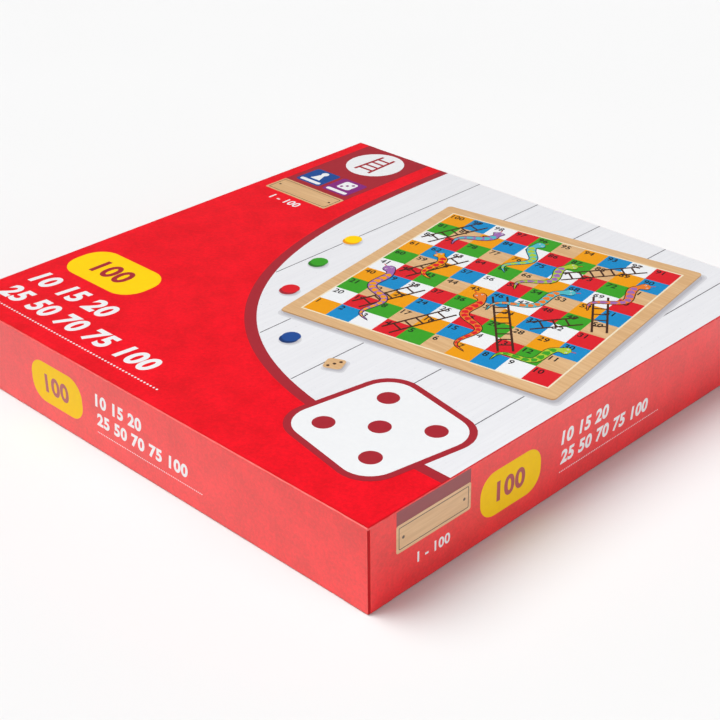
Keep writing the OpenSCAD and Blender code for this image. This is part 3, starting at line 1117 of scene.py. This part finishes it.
def print_box_and_board():
    """Prints the lid's five faces and the playing board."""
    film = {ink: lid_ink("film_ink_" + ink, *tones) for ink, tones in INK_TONES.items()}
    film["yellow"] = lid_ink("spot_ink_yellow", "#FFD20A", "#F6C404", filmed=False)
    film["panel"] = film_planks("film_ink_planks")
    film["wood"] = film_wood("film_ink_wood", (0.06, 1, 1), math.radians(-PICTURE_TURN))
    film["side_wood"] = film_wood("film_ink_side_wood", (1, 0.06, 1), 0)
    printed = {}
    lay(lid_top_print(), Matrix.Translation((0, 0, LID_HIGH.z)), printed)
    # The pictured board lies on the passes of the panel
    at = Vector((PICTURE_AT[0] * MM, PICTURE_AT[1] * MM, LID_HIGH.z + 3 * INK_T))
    shrink = PICTURE_W / BOARD_W
    picture = Matrix.Translation(at) @ Matrix.Rotation(math.radians(PICTURE_TURN), 4, "Z")
    lay(pictured_board(), picture @ Matrix.Diagonal((shrink, shrink, 1, 1)), printed)
    stand = Matrix.Rotation(math.pi / 2, 4, "X")
    for turn, half in enumerate((LID_HALF_D, LID_HALF_W, LID_HALF_D, LID_HALF_W)):
        sheet = end_print() if turn % 2 else side_print(-66.5, -33.6)
        out = Matrix.Translation((0, -half * MM + STAY_T, 0))
        lay(sheet, Matrix.Rotation(turn * math.pi / 2, 4, "Z") @ out @ stand, printed)
    press(printed, "lid", film, "lid")
    screen = {ink: board_ink("board_ink_" + ink, *INK_TONES[ink]) for ink in BOARD_INKS}
    sheet = {}
    board_print(sheet, 0)
    printed = {}
    lay(sheet, Matrix.Translation((BOARD_MIDDLE.x, BOARD_MIDDLE.y, BOARD_HIGH.z)), printed)
    press(printed, "board", screen, "playing_board")


# Paint of the counters, lighter and darker tone of each
PAINTS = {
    "yellow": ("#FAC312", "#E9AE08"),
    "blue": ("#2F5FB4", "#234C98"),
    "green": ("#3E9A3A", "#2F842C"),
    "red": ("#D9252C", "#BF1B23"),
}


def build_game():
    """Every solid piece with its finish."""
    white_paper = fibre_stock("plain_white_paper", "#F3F1EC", "#E6E3DB", "#D3CFC4", 0.5, 0.75)
    greyboard = fibre_stock("grey_chipboard", "#A79F92", "#8F877A", "#5F584E", 0.9, 0.95)
    kraft = fibre_stock("brown_kraft_card", "#C39B69", "#AE8653", "#7F5C34", 0.8, 0.85)
    tape = fibre_stock("gummed_paper_tape", "#CDA673", "#B98F5B", "#8C6537", 0.6, 0.7)
    finish_piece(paper_wrap("lid_wrap", "printed_lid_wrap", 1), red_wrap(),
                 "lid", "printed_red_paper", "lid_wrap")
    finish_piece(paper_wrap("base_wrap", "paper_base_wrap", -1), white_paper,
                 "base", "plain_white_paper", "base_wrap")
    for node in ("board_platform", "piece_tray"):
        finish_piece(eased_card(node, "folded_" + node), kraft, "base", "kraft_card", node)
    finish_piece(plywood_board(), plywood(), "playing_board", "plywood", "playing_board")
    for colour, tones in PAINTS.items():
        node = colour + "_counter"
        slot = colour + "_painted_wood"
        finish_piece(dowel_counter(node), painted_wood(slot, *tones), node, slot, node)
    paint_node("die", beech_die())
    for node in ("lid_board", "base_board"):
        paint_node(node, greyboard)
    for node in ("lid_corner_stays", "base_corner_stays"):
        paint_node(node, tape)
    paint_node("base_bottom_sheet", white_paper)


# Studio


def photo_camera():
    """Camera where the photograph was taken from."""
    level = math.cos(ELEVATION)
    back = Vector((math.sin(AZIMUTH) * level, -math.cos(AZIMUTH) * level, math.sin(ELEVATION)))
    right = Vector((0, 0, 1)).cross(back).normalized()
    up = back.cross(right)
    across = right * math.cos(ROLL) + up * math.sin(ROLL)
    upward = up * math.cos(ROLL) - right * math.sin(ROLL)
    pose = Matrix((across, upward, back)).transposed().to_4x4()
    pose.translation = back * CAMERA_DISTANCE + right * CAMERA_RIGHT + up * CAMERA_UP
    deselect()
    bpy.ops.object.camera_add()
    camera = bpy.context.object
    camera.matrix_world = pose
    camera.data.lens = LENS_MM
    camera.data.sensor_width = SENSOR_MM
    camera.data.clip_start = 10 * MM
    bpy.context.scene.camera = camera


def lamp(name, towards, level, spread):
    """A far soft lamp. Level 1 lights a white surface that faces it to white."""
    deselect()
    turn = Vector(towards).to_track_quat("Z", "Y").to_euler()
    bpy.ops.object.light_add(type="SUN", rotation=turn)
    made = bpy.context.object
    made.name = name
    made.data.energy = level * math.pi
    made.data.angle = math.radians(spread)


def studio():
    """White floor, a room that darkens upward from a pale band low down, and three soft lamps."""
    deselect()
    bpy.ops.mesh.primitive_plane_add(size=80, location=(0, 0, -0.2 * MM))
    floor = bpy.context.object
    floor.name = "studio_floor"
    material, tree, shader, place = new_material("matt_white_paper_floor")
    tone = add(tree, "TexNoise", {"Vector": place, "Scale": per(300), "Detail": 2.0})
    white = add(tree, "Mix", {"Factor": tone, "A": "#EAEAEA", "B": "#EDEDED"}, data_type="RGBA")
    feed(shader, {"Base Color": white, "Roughness": 0.9, "Specular IOR Level": 0.1})
    floor.data.materials.append(material)
    lamp("key_lamp", (-0.44, -0.30, 0.845), 1.0, 46)
    lamp("fill_lamp", (0.89, -0.10, 0.44), 0.34, 60)
    lamp("top_lamp", (0.05, -0.05, 1.0), 0.14, 60)
    world = bpy.data.worlds.new("studio_room")
    bpy.context.scene.world = world
    world.use_nodes = True
    room = world.node_tree
    way = add(room, "TexCoord").outputs["Generated"]
    rise = add(room, "SeparateXYZ", {0: way}).outputs["Z"]
    band = add(room, "MapRange", {
        "Value": rise, "From Min": 0.03, "From Max": 0.12, "To Min": 0.7, "To Max": 0.0,
    })
    walls = add(room, "MapRange", {
        "Value": rise, "From Min": 0.12, "From Max": 0.58, "To Min": 0.1, "To Max": 0.0,
    })
    level = add(room, "Math", {0: band, 1: walls}, operation="ADD")
    feed(room.nodes["Background"], {"Strength": level, "Color": "#FFFFFF"})
    bpy.context.scene.view_settings.view_transform = "Standard"


photo_camera()
studio()
build_game()
print_box_and_board()
